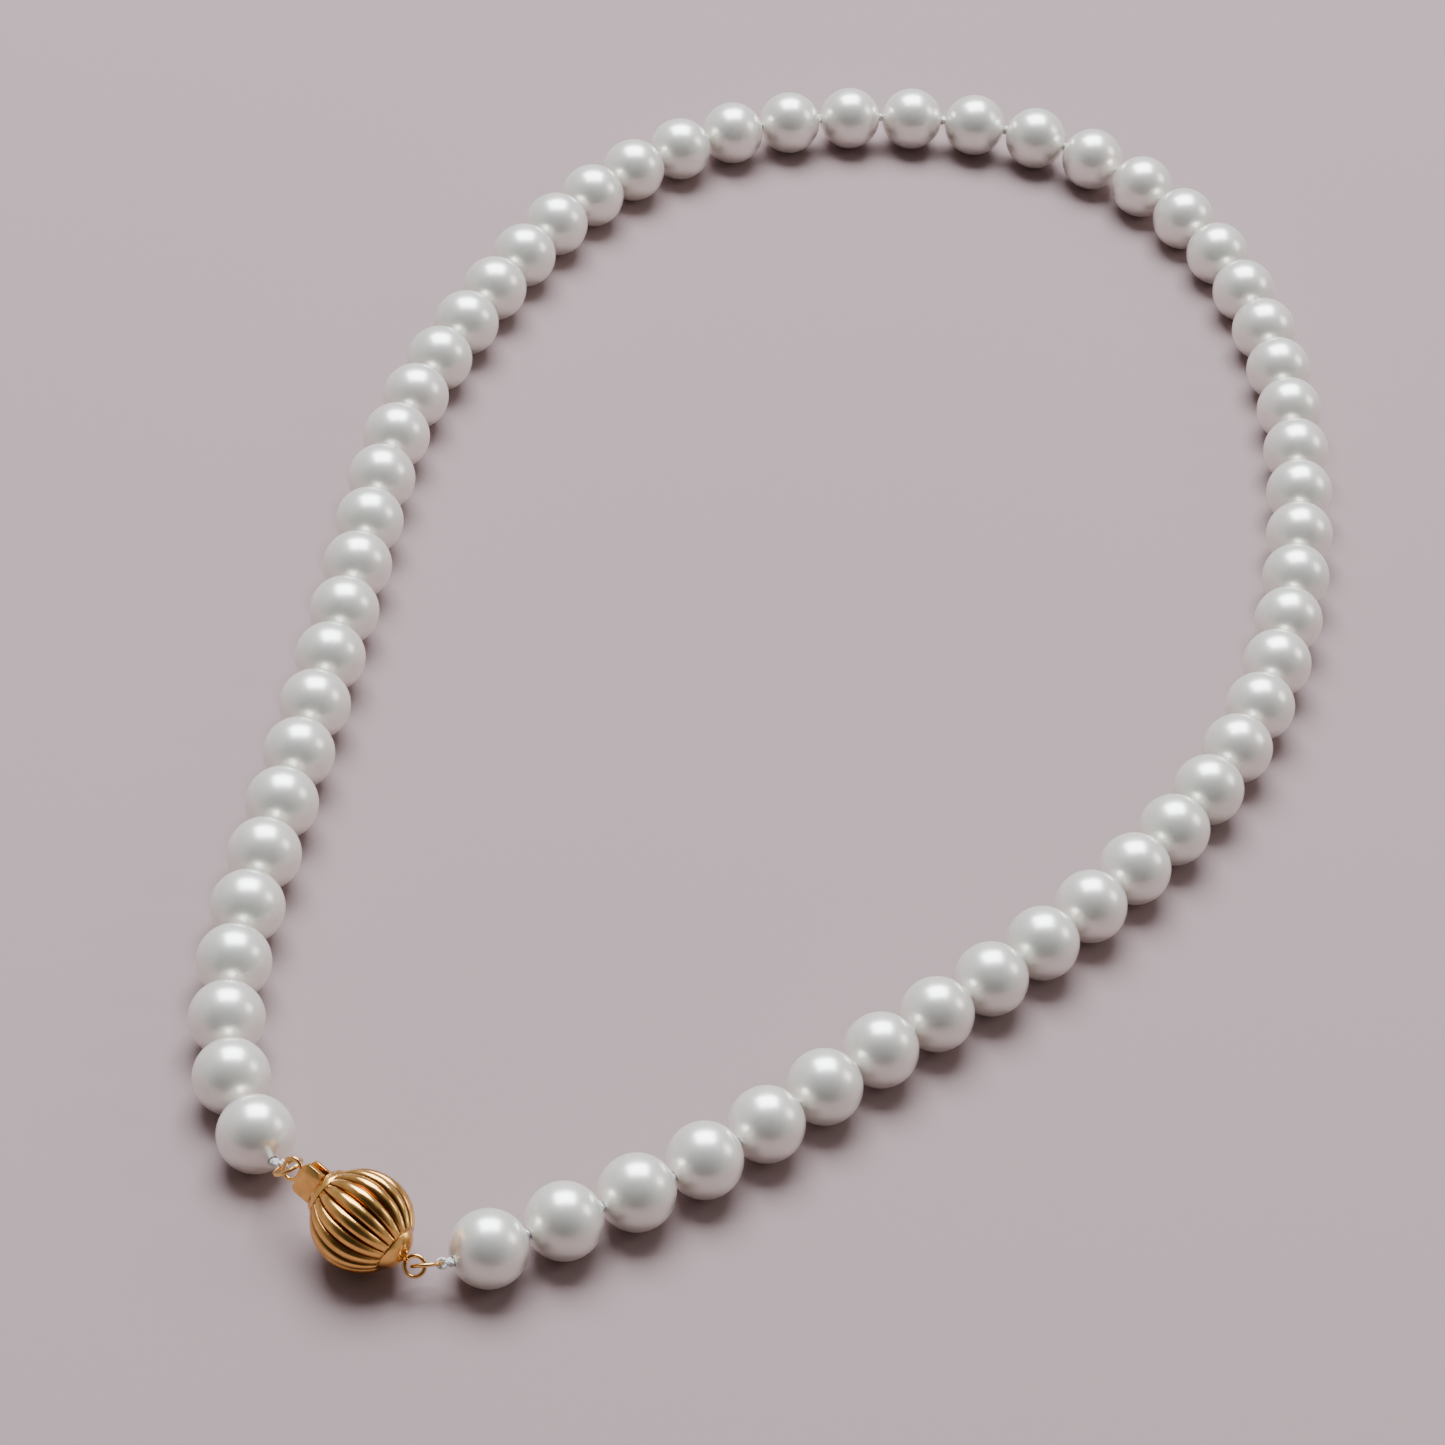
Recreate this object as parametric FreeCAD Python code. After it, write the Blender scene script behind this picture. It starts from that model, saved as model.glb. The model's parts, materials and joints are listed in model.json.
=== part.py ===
import FreeCAD, Part
import math
import os

# A single-strand pearl necklace, closed and lying flat: 60 round pearls knotted one by one
# on silk, and a fluted gold ball clasp with a push-in spring tongue. Millimetres, +Z up,
# origin at the middle of the necklace's footprint, on the surface that it rests on.

Vector = FreeCAD.Vector

# ---- driving dimensions: the strand ----
PEARL_DIAMETER = 7.0
KNOT_PITCH = 7.38                # from one knot to the next, along the silk
DRILL_DIAMETER = 0.8             # the hole through each pearl
SILK_DIAMETER = 0.6              # the doubled thread inside the hole
KNOT_DIAMETER = 1.0
KNOT_CLEARANCE = 0.03            # between a knot and the seat worn into the drilled mouth
STUB_GAP = 0.02                  # from a link's last knot to the next link's silk
LINKS = 20                       # stretches of strand that bend against each other
PEARLS_PER_LINK = 3

# Where the middle of the silk lies, from the pearl beside the end cap, round the front of
# the neck, to the pearl beside the tongue.
ROUTE = [
    (-25.0, -94.8), (-16.2, -88.5), (-7.3, -81.6), (7.4, -65.4), (21.8, -48.6),
    (34.6, -30.4), (44.0, -10.1), (48.6, 11.9), (49.4, 34.3), (46.6, 56.4),
    (38.4, 77.1), (22.1, 91.3), (0.1, 91.9), (-19.4, 82.0), (-32.4, 64.2),
    (-40.1, 43.7), (-45.2, 22.7), (-46.3, 1.1), (-47.1, -20.7), (-48.4, -42.7),
    (-49.0, -65.0), (-46.5, -78.0), (-44.0, -82.9), (-41.4, -86.0), (-38.4, -88.8),
]

# ---- driving dimensions: the clasp, in its own frame ----
# The ball's centre is the origin there, +X runs out through the end cap, and the tongue's
# flat plates face -Y and stand up along Z.
BALL_CENTRE = Vector(-33.0, -92.3, 4.5)
CLASP_HEADING = -31.0            # degrees about +Z
CLASP_DIP = 14.0                 # the end cap's side hangs lower than the tongue's
CLASP_ROLL = -17.0               # the plates lean back at the top
BALL_RADIUS = 4.5
BALL_WALL = 0.35
FLUTES = 20
FLUTE_TOOL_RADIUS = 0.36         # the round groove between two ribs
FLUTE_DEPTH = 0.2
MOUTH_FACE = -3.8                # where the ball is cut flat for the mouth plate
CAP_FACE = 3.75                  # where the ball is cut flat for the end cap

MOUTH_HUB_RADIUS = 1.85
MOUTH_FLANGE_RADIUS = 2.2
MOUTH_FLANGE_INNER = -4.3
MOUTH_FLANGE_OUTER = -4.6
SLOT_LOW = -1.05                 # the slot's edge beside the tongue's base strip
SLOT_HIGH = 0.65                 # the edge that the spring's step catches behind
SLOT_HALF_WIDTH = 1.2

CAP_RIM_RADIUS = 2.2
CAP_APEX = 4.95
CAP_WALL = 0.3

EYE_CENTRE = 6.03                # along the clasp's axis
EYE_RADIUS = 0.89                # to the middle of the wire
EYE_WIRE_RADIUS = 0.185
EYE_TURN = 30.0                  # about the axis, from the tongue's plates
STEM_RADIUS = 0.25

STRIP_HALF_WIDTH = 1.1
BASE_FRONT = -0.95               # the base strip's face, the side away from the spring
BASE_THICKNESS = 0.35
BEND_CENTRE_X = 1.5              # the fold at the tongue's nose
PLATE_END = -6.7
PLATE_START = -4.72
PLATE_HALF_WIDTH = 1.65
PLATE_CORNER = 0.6
SPRING_THICKNESS = 0.25
SPRING_STEP_X = -3.58            # the step that catches behind the mouth plate
SPRING_STEP_Y = 0.95
NECK_Y = 0.35
TAB_END = -6.55
TAB_HALF_WIDTH = 1.5
TAB_THICKNESS = 0.3
PIVOT_CLEARANCE = 0.02

TONGUE_RING_CENTRE = -7.5
TONGUE_RING_RADIUS = 0.77        # of its round ends, to the middle of the wire
TONGUE_RING_STRAIGHT = 0.6
TONGUE_RING_WIRE_RADIUS = 0.185

# ---- driving dimensions: the jump rings and the silk's end loops ----
JUMP_RING_RADIUS = 1.27
JUMP_RING_WIRE_RADIUS = 0.18
RIGHT_RING_UP = Vector(0.06, -0.68, 0.73)    # each ring stands in the plane of this direction
LEFT_RING_UP = Vector(0.74, 0.63, 0.22)     # and the line from its anchor to the silk's knot
RIGHT_RING_START = -0.22         # from the eye's middle to the ring's near wire
LEFT_RING_START = -0.15
LOOP_RADIUS = 0.5
LOOP_SILK_RADIUS = 0.25

# ---- derived values ----
PEARL_RADIUS = PEARL_DIAMETER / 2
DRILL_RADIUS = DRILL_DIAMETER / 2
SILK_RADIUS = SILK_DIAMETER / 2
KNOT_RADIUS = KNOT_DIAMETER / 2
SEAT_RADIUS = KNOT_RADIUS + KNOT_CLEARANCE
PEARLS = LINKS * PEARLS_PER_LINK
CLASP = FreeCAD.Placement(BALL_CENTRE, FreeCAD.Rotation(CLASP_HEADING, CLASP_DIP, CLASP_ROLL))
BASE_BACK = BASE_FRONT + BASE_THICKNESS
BASE_MIDDLE = BASE_FRONT + BASE_THICKNESS / 2
BEND_OUTER = 0.6
BEND_INNER = BEND_OUTER - BASE_THICKNESS
BEND_CENTRE_Y = BASE_FRONT + BEND_OUTER
PIVOT_Y = BEND_CENTRE_Y + (BEND_OUTER + BEND_INNER) / 2


# ---- helpers ----
def unit(v):
    return v * (1 / v.Length)


def box(x0, x1, y0, y1, z0, z1):
    return Part.makeBox(x1 - x0, y1 - y0, z1 - z0, Vector(x0, y0, z0))


def rod(start, end, radius):
    run = end - start
    return Part.makeCylinder(radius, run.Length, start, run)


def ball(centre, radius, direction):
    """A ball whose seam line faces squarely across the direction that the silk runs in."""
    shape = Part.makeSphere(radius, centre)
    shape.rotate(centre, Vector(0, 0, 1), 90 + math.degrees(math.atan2(direction.y, direction.x)))
    return shape


def ring(centre, axis, radius, wire_radius):
    return Part.makeTorus(radius, wire_radius, centre, axis)


def in_clasp(shape):
    """A solid drawn in the clasp's own frame, put where the clasp lies."""
    placed = shape.copy()
    placed.Placement = CLASP.multiply(placed.Placement)
    return placed


def save(name, solids):
    shape = solids[0] if len(solids) == 1 else Part.makeCompound(solids)
    shape.exportStep("parts/" + name + ".step")


# ---- the strand ----
def knot_points():
    """The knots, a pitch apart in straight lines, along a smooth curve through ROUTE."""
    height = PEARL_RADIUS
    curve = Part.BSplineCurve()
    curve.interpolate([Vector(x, y, height) for x, y in ROUTE])
    at = curve.FirstParameter
    points = [curve.value(at)]
    for _ in range(PEARLS):
        low = at
        high = curve.LastParameter
        step = (high - low) / PEARLS
        while (curve.value(low + step) - points[-1]).Length < KNOT_PITCH:
            low += step
        high = low + step
        for _ in range(40):
            middle = (low + high) / 2
            if (curve.value(middle) - points[-1]).Length < KNOT_PITCH:
                low = middle
            else:
                high = middle
        at = high
        points.append(curve.value(at))
    return points


def pearl(start, end):
    """A round pearl, drilled through, with a small seat at each mouth where its knot nests."""
    direction = end - start
    body = ball((start + end) * 0.5, PEARL_RADIUS, direction)
    body = body.cut(rod(start, end, DRILL_RADIUS))
    for knot in (start, end):
        body = body.cut(ball(knot, SEAT_RADIUS, direction))
    return body.Solids[0]


def link_silk(knots):
    """A stretch of silk with its knots. Its first end stops just clear of the knot before it."""
    silk = None
    for start, end in zip(knots, knots[1:]):
        direction = unit(end - start)
        gap = KNOT_RADIUS + STUB_GAP if silk is None else KNOT_RADIUS / 2
        run = rod(start + direction * gap, end - direction * KNOT_RADIUS / 2, SILK_RADIUS)
        run = run.fuse(ball(end, KNOT_RADIUS, direction))
        silk = run if silk is None else silk.fuse(run)
    return silk.Solids[0]


def make_strand(knots):
    for link in range(LINKS):
        first = link * PEARLS_PER_LINK
        own = knots[first:first + PEARLS_PER_LINK + 1]
        number = "%02d" % (link + 1)
        save("pearls_" + number, [pearl(a, b) for a, b in zip(own, own[1:])])
        save("silk_" + number, [link_silk(own)])


# ---- the ball ----
def round_edge(radius, low, high):
    """A stretch of a ball's outline, from one distance along the axis to another."""
    points = [Vector(x, math.sqrt(radius ** 2 - x ** 2), 0) for x in (low, (low + high) / 2, high)]
    return Part.Arc(*points).toShape(), points[0], points[-1]


def fluted_half(low, high):
    """Half of the hollow ball, ribbed from pole to pole, cut flat where a fitting sits."""
    outer, outer_low, outer_high = round_edge(BALL_RADIUS, low, high)
    inner, inner_low, inner_high = round_edge(BALL_RADIUS - BALL_WALL, low, high)
    edges = [outer, Part.makeLine(outer_high, inner_high), inner, Part.makeLine(inner_low, outer_low)]
    section = Part.Face(Part.Wire(Part.__sortEdges__(edges)))
    half = section.revolve(Vector(), Vector(1, 0, 0), 360)
    groove_radius = BALL_RADIUS + FLUTE_TOOL_RADIUS - FLUTE_DEPTH
    for k in range(FLUTES // 2):
        turn = 2 * math.pi * (k + 0.5) / FLUTES
        axis = Vector(0, math.cos(turn), math.sin(turn))
        half = half.cut(ring(Vector(), axis, groove_radius, FLUTE_TOOL_RADIUS))
    return half.Solids[0]


def mouth_plate():
    """The round plate over the ball's mouth, with the slot that the tongue pushes into."""
    axis = Vector(1, 0, 0)
    flange_length = MOUTH_FLANGE_INNER - MOUTH_FLANGE_OUTER
    plate = Part.makeCylinder(MOUTH_FLANGE_RADIUS, flange_length, Vector(MOUTH_FLANGE_OUTER, 0, 0), axis)
    hub_length = MOUTH_FACE - MOUTH_FLANGE_INNER
    plate = plate.fuse(Part.makeCylinder(MOUTH_HUB_RADIUS, hub_length, Vector(MOUTH_FLANGE_INNER, 0, 0), axis))
    slot = box(-6, -3, SLOT_LOW, SLOT_HIGH, -SLOT_HALF_WIDTH, SLOT_HALF_WIDTH)
    return plate.cut(slot).removeSplitter().Solids[0]


def dome_profile(face, rim, apex):
    """Half of a dome's outline: from its rim, over a shallow curve, to a blunt tip."""
    shoulder = Vector(face + 0.66 * (apex - face), 0.64 * rim, 0)
    tip = Vector(apex, 0.12 * rim, 0)
    return Part.Arc(Vector(face, rim, 0), shoulder, tip).toShape(), tip


def end_cap():
    outer, outer_tip = dome_profile(CAP_FACE, CAP_RIM_RADIUS, CAP_APEX)
    inner, inner_tip = dome_profile(CAP_FACE, CAP_RIM_RADIUS - CAP_WALL, CAP_APEX - CAP_WALL)
    edges = [
        outer,
        Part.makeLine(outer_tip, Vector(CAP_APEX, 0, 0)),
        Part.makeLine(Vector(CAP_APEX, 0, 0), Vector(CAP_APEX - CAP_WALL, 0, 0)),
        Part.makeLine(Vector(CAP_APEX - CAP_WALL, 0, 0), inner_tip),
        inner,
        Part.makeLine(Vector(CAP_FACE, CAP_RIM_RADIUS - CAP_WALL, 0), Vector(CAP_FACE, CAP_RIM_RADIUS, 0)),
    ]
    face = Part.Face(Part.Wire(Part.__sortEdges__(edges)))
    return face.revolve(Vector(), Vector(1, 0, 0), 360)


def eye_ring():
    """The wire eye on a short stem, soldered to the end cap's tip."""
    turn = math.radians(EYE_TURN)
    axis = Vector(0, -math.cos(turn), math.sin(turn))
    eye = ring(Vector(EYE_CENTRE, 0, 0), axis, EYE_RADIUS, EYE_WIRE_RADIUS)
    stem_end = Vector(EYE_CENTRE - EYE_RADIUS, 0, 0)
    return eye.fuse(rod(Vector(CAP_APEX, 0, 0), stem_end, STEM_RADIUS)).Solids[0]


# ---- the tongue ----
def rounded_plate(x_end, x_start, y0, y1, half_width, corner):
    """A flat plate whose outer two corners, at x_end, are rounded."""
    plate = box(x_end, x_start, y0, y1, -half_width, half_width)
    corners = [
        edge for edge in plate.Edges
        if abs(edge.CenterOfMass.x - x_end) < 1e-6 and abs(abs(edge.CenterOfMass.z) - half_width) < 1e-6
        and abs(edge.CenterOfMass.y - (y0 + y1) / 2) < 1e-6
    ]
    return plate.makeFillet(corner, corners)


def tongue_base():
    """The tongue's stiff side: the outer plate, the strip inside the ball, and the nose fold."""
    w = STRIP_HALF_WIDTH
    plate = rounded_plate(PLATE_END, PLATE_START, BASE_FRONT, BASE_BACK, PLATE_HALF_WIDTH, PLATE_CORNER)
    strip = box(PLATE_START - 0.5, BEND_CENTRE_X, BASE_FRONT, BASE_BACK, -w, w)
    foot = Vector(BEND_CENTRE_X, BEND_CENTRE_Y, -w)
    along = Vector(0, 0, 1)
    bend = Part.makeCylinder(BEND_OUTER, 2 * w, foot, along)
    bend = bend.cut(Part.makeCylinder(BEND_INNER, 2 * w, foot, along))
    bend = bend.common(box(BEND_CENTRE_X, BEND_CENTRE_X + 1, -3, 3, -w, w))
    seat_radius = SPRING_THICKNESS / 2 + PIVOT_CLEARANCE
    seat = Part.makeCylinder(seat_radius, 2 * w, Vector(BEND_CENTRE_X, PIVOT_Y, -w), along)
    return plate.fuse(strip).fuse(bend).cut(seat).removeSplitter().Solids[0]


def tongue_spring():
    """The springy side: a leaf rising from the nose to a step, and the neck through the slot."""
    w = STRIP_HALF_WIDTH
    t = SPRING_THICKNESS / 2
    root = Vector(BEND_CENTRE_X, PIVOT_Y, 0)
    crest = Vector(SPRING_STEP_X, SPRING_STEP_Y, 0)
    side = unit(crest - root).cross(Vector(0, 0, 1)) * t
    neck_end = PLATE_START + 0.02
    outline = [
        root + side,
        crest + side,
        Vector(SPRING_STEP_X - t, SPRING_STEP_Y, 0),
        Vector(SPRING_STEP_X - t, NECK_Y + t, 0),
        Vector(neck_end, NECK_Y + t, 0),
        Vector(neck_end, NECK_Y - t, 0),
        Vector(SPRING_STEP_X + t, NECK_Y - t, 0),
        Vector(SPRING_STEP_X + t, SPRING_STEP_Y - 2 * t, 0),
        root - side,
    ]
    face = Part.Face(Part.makePolygon(outline + outline[:1]))
    leaf = face.extrude(Vector(0, 0, 2 * w))
    leaf = leaf.fuse(Part.makeCylinder(t, 2 * w, root, Vector(0, 0, 1)))
    leaf.translate(Vector(0, 0, -w))
    return leaf.removeSplitter().Solids[0]


def thumb_tab():
    """The flat thumb piece on the spring's outer end, level with the outer plate."""
    low = NECK_Y - TAB_THICKNESS / 2
    return rounded_plate(TAB_END, PLATE_START, low, low + TAB_THICKNESS, TAB_HALF_WIDTH, PLATE_CORNER)


def tongue_ring():
    """The oval wire ring soldered on the outer plate's end."""
    half = TONGUE_RING_STRAIGHT / 2
    axis = Vector(0, 1, 0)
    oval = None
    for side in (-1, 1):
        centre = Vector(TONGUE_RING_CENTRE, BASE_MIDDLE, side * half)
        arc = ring(centre, axis, TONGUE_RING_RADIUS, TONGUE_RING_WIRE_RADIUS)
        if side > 0:
            keep = box(-10, -5, -3, 3, half, 3)
        else:
            keep = box(-10, -5, -3, 3, -3, -half)
        arc = arc.common(keep)
        oval = arc if oval is None else oval.fuse(arc)
    for side in (-1, 1):
        x = TONGUE_RING_CENTRE + side * TONGUE_RING_RADIUS
        run = rod(Vector(x, BASE_MIDDLE, -half), Vector(x, BASE_MIDDLE, half), TONGUE_RING_WIRE_RADIUS)
        oval = oval.fuse(run)
    plate = rounded_plate(PLATE_END, PLATE_START, BASE_FRONT, BASE_BACK, PLATE_HALF_WIDTH, PLATE_CORNER)
    return oval.cut(plate).Solids[0]


# ---- the jump rings and the silk's end loops ----
class EndFitting:
    """A jump ring between its anchor on the clasp and the silk's end knot."""

    def __init__(self, anchor, knot, start, up):
        self.knot = knot
        self.along = unit(knot - anchor)
        self.axis = unit(self.along.cross(up))
        self.middle = anchor + self.along * (start + JUMP_RING_RADIUS)
        self.far_wire = self.middle + self.along * JUMP_RING_RADIUS

    def jump_ring(self):
        return ring(self.middle, self.axis, JUMP_RING_RADIUS, JUMP_RING_WIRE_RADIUS)

    def loop(self):
        """The silk's last turn, round the jump ring's far wire."""
        return ring(self.far_wire, self.along.cross(self.axis), LOOP_RADIUS, LOOP_SILK_RADIUS)

    def loop_with_knot(self):
        return self.loop().fuse(ball(self.knot, KNOT_RADIUS, self.along)).Solids[0]

    def loop_with_stub(self):
        stub_start = self.far_wire + self.along * LOOP_RADIUS
        stub_end = self.knot - self.along * (KNOT_RADIUS + STUB_GAP)
        return self.loop().fuse(rod(stub_start, stub_end, SILK_RADIUS)).Solids[0]


def right_fitting(knots):
    eye = CLASP.multVec(Vector(EYE_CENTRE, 0, 0))
    return EndFitting(eye, knots[0], RIGHT_RING_START, RIGHT_RING_UP)


def left_fitting(knots):
    oval = CLASP.multVec(Vector(TONGUE_RING_CENTRE, BASE_MIDDLE, 0))
    return EndFitting(oval, knots[-1], LEFT_RING_START, LEFT_RING_UP)


def make_clasp():
    save("ball_half_mouth", [in_clasp(fluted_half(MOUTH_FACE, 0))])
    save("ball_half_cap", [in_clasp(fluted_half(0, CAP_FACE))])
    save("mouth_plate", [in_clasp(mouth_plate())])
    save("end_cap", [in_clasp(end_cap())])
    save("eye_ring", [in_clasp(eye_ring())])
    save("tongue_base", [in_clasp(tongue_base())])
    save("tongue_spring", [in_clasp(tongue_spring())])
    save("thumb_tab", [in_clasp(thumb_tab())])
    save("tongue_ring", [in_clasp(tongue_ring())])


def make_end_fittings(knots):
    right = right_fitting(knots)
    left = left_fitting(knots)
    save("jump_ring_right", [right.jump_ring()])
    save("silk_loop_right", [right.loop_with_knot()])
    save("jump_ring_left", [left.jump_ring()])
    save("silk_loop_left", [left.loop_with_stub()])


os.makedirs("parts", exist_ok=True)
strand_knots = knot_points()
make_strand(strand_knots)
make_clasp()
make_end_fittings(strand_knots)
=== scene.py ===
import json
import math

import bpy
import numpy as np
from mathutils import Matrix, Vector

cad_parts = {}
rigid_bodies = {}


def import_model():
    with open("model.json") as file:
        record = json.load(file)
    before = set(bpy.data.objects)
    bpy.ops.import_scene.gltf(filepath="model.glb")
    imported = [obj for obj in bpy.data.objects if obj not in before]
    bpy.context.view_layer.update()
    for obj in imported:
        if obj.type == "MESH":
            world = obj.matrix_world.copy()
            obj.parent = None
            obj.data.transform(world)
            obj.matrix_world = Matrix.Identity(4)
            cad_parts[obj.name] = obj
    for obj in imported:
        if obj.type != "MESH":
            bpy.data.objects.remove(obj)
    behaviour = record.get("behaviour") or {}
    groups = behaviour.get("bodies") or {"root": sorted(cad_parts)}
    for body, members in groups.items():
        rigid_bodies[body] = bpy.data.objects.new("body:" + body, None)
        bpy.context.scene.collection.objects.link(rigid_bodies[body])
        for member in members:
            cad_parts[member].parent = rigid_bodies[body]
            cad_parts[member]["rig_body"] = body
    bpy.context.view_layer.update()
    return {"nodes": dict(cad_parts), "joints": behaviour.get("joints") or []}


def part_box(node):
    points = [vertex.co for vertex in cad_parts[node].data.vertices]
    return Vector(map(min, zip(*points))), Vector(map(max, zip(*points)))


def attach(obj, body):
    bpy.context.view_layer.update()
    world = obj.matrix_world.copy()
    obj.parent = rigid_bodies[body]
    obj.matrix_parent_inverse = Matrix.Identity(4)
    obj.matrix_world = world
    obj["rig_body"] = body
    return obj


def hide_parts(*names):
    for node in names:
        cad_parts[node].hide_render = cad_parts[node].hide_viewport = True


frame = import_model()

# ---- sizes, in metres ----
MM = 0.001

# The strand.
LINKS = 20
PEARLS_PER_LINK = 3
PEARL_RADIUS = 3.5 * MM
PEARL_UNEVEN = 0.035 * MM        # how far a pearl dips below its round
PEARL_SEGMENTS = 72
DRILL_RADIUS = 0.4 * MM
LIP_RADIUS = 0.50 * MM           # where a pearl's outside ends at its drilled mouth
SEAT_RADIUS = 0.53 * MM          # the knot's seat in a drilled mouth
SEAT_RIM = 0.485 * MM            # how wide the seat opens
HALF_PITCH = 3.69 * MM           # from a pearl's middle to the knot beside it
MARK_STRENGTH = 0.3
MARK_SPREAD = 0.012              # of a growth mark, as a squared distance on a unit sphere

# The silk.
SILK_RADIUS = 0.3 * MM
KNOT_RADIUS = 0.57 * MM
HINGE_KNOT_RADIUS = 0.50 * MM    # of a knot that turns in its seat
KNOT_STRAND = 0.16 * MM          # the radius of the thread that a knot is tied in
CORE_RADIUS = 0.40 * MM          # of the plump middle of a knot
CORE_PLACES = 0.36 * MM * np.linspace(-1, 1, 9)
CORE_RADII = np.sqrt(CORE_RADIUS ** 2 - CORE_PLACES ** 2)
PLIES = 3
PLY_PITCH = 0.5 * MM
END_STRAND = 0.15 * MM           # the radius of each thread in the strand's end loops
END_PLY_PITCH = 0.35 * MM

# The clasp's own frame: origin at the ball's middle, +X out through the end cap, the
# tongue's flat plates facing -Y.
EYE_CENTRE = 6.03 * MM
TONGUE_RING_CENTRE = -7.5 * MM
PLATE_MIDDLE = -0.775 * MM
BALL_RADIUS = 4.5 * MM
BALL_INNER = 3.92 * MM           # further in than the CAD's wall, clear of the deep grooves
BALL_INSIDE_GAP = 0.03 * MM      # the drawn inside lies this much further in again
MOUTH_FACE = -3.8 * MM
CAP_FACE = 3.75 * MM
COLLAR_FACE = -4.6 * MM
COLLAR_HUB = 1.85 * MM
COLLAR_TOP = 1.8 * MM
COLLAR_FOOT = 2.38 * MM
RIBS = 20
RIB_COLUMNS = 14                 # columns of vertices across a rib
RIB_ROWS = 44
INSIDE_ROWS = 12
RIB_HEIGHT = 0.62 * MM
RIB_WIDTH = 0.97                 # of a rib's round, as a share of its pitch
RIB_WOBBLE = 0.02 * MM
WOBBLE_TURNS = 500               # radians of a rib's wobble along each metre
RIB_END = 0.45                   # a rib's depth at a fitting, as a share of its full depth
RIB_RISE = 0.35 * MM             # how far from the fitting a rib has its full depth
GROOVE_SHADE_FULL = 0.55               # the depth, as a share of a rib's height, past which the painted shade in a groove is darkest
CAP_RIM = 2.2 * MM
CAP_APEX = 4.95 * MM
CAP_WALL = 0.3 * MM
CAP_TIP = 0.05 * MM
DOME_SHOULDER = (0.66, 0.64)     # a point on the dome: shares of its height and rim
DOME_TIP = 0.12                  # where the dome's round ends, as a share of its rim
EYE_RADIUS = 0.89 * MM
EYE_WIRE = 0.185 * MM
EYE_TURN = math.radians(30)
OVAL_RADIUS = 0.77 * MM
OVAL_STRAIGHT = 0.6 * MM
BEAD_HALF = 0.5 * MM             # half the length of the solder at the oval ring
BEAD_RADIUS = 0.2 * MM
JUMP_RADIUS = 1.27 * MM
JUMP_WIRE = 0.18 * MM
JUMP_CUT = 2.2                   # radians round a jump ring to its sawn gap
JUMP_GAP = 0.035                 # half the gap, in radians

# ---- how meshes are shaded and eased ----
SHARP_ANGLE = math.radians(55)
FLAT_WITHIN = math.radians(2)
BEVEL_OVER = math.radians(35)
WELD_WITHIN = 0.001 * MM
ANY_TURN = 6.28                  # radians, the top of a random draw round a circle

# ---- the camera ----
CAMERA_PLACE = Vector((-0.0080, -0.3568, 0.2885))
CAMERA_DOWN = math.radians(40.22)
CAMERA_ROLL = math.radians(7.38)
CAMERA_LENS = 112.7
CAMERA_SENSOR = 36.0

# ---- the studio ----
FLOOR_HALF = 3.0
ROOM_SIDE = (0.0, -0.77, 0.64)   # the room is darker towards this side, away from the window

rng = np.random.default_rng(7)


# ---- meshes ----
def new_piece(name, verts, faces, material, body, replaced=()):
    mesh = bpy.data.meshes.new(name)
    mesh.from_pydata([tuple(v) for v in verts], [], faces)
    mesh.validate()
    mesh.polygons.foreach_set("use_smooth", [True] * len(mesh.polygons))
    mesh.set_sharp_from_angle(angle=SHARP_ANGLE)
    mesh.materials.append(material)
    piece = bpy.data.objects.new(name, mesh)
    bpy.context.scene.collection.objects.link(piece)
    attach(piece, body)
    if replaced:
        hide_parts(*replaced)
    return piece


def set_attribute(piece, name, values):
    """A number at every vertex, which a material can read."""
    attribute = piece.data.attributes.new(name, "FLOAT", "POINT")
    attribute.data.foreach_set("value", np.asarray(values, np.float32))


def grid_faces(rows, columns, wrap_rows=False, wrap_columns=True, first=0):
    """The quads between rows of vertices; a wrapped direction closes on itself."""
    faces = []
    for i in range(rows if wrap_rows else rows - 1):
        for j in range(columns if wrap_columns else columns - 1):
            a = first + i * columns + j
            b = first + i * columns + (j + 1) % columns
            c = first + ((i + 1) % rows) * columns + (j + 1) % columns
            d = first + ((i + 1) % rows) * columns + j
            faces.append((a, b, c, d))
    return faces


def join(parts):
    """One list of vertices and faces from several."""
    verts, faces = [], []
    for part_verts, part_faces in parts:
        start = len(verts)
        verts.extend(part_verts)
        faces.extend(tuple(start + k for k in face) for face in part_faces)
    return verts, faces


def unit(v):
    return v / np.linalg.norm(v)


def side_of(direction):
    """Two unit vectors square to a direction and to each other."""
    direction = unit(direction)
    helper = np.array([0, 0, 1.0]) if abs(direction[2]) < 0.9 else np.array([1.0, 0, 0])
    first = unit(np.cross(direction, helper))
    return first, np.cross(direction, first)


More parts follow.
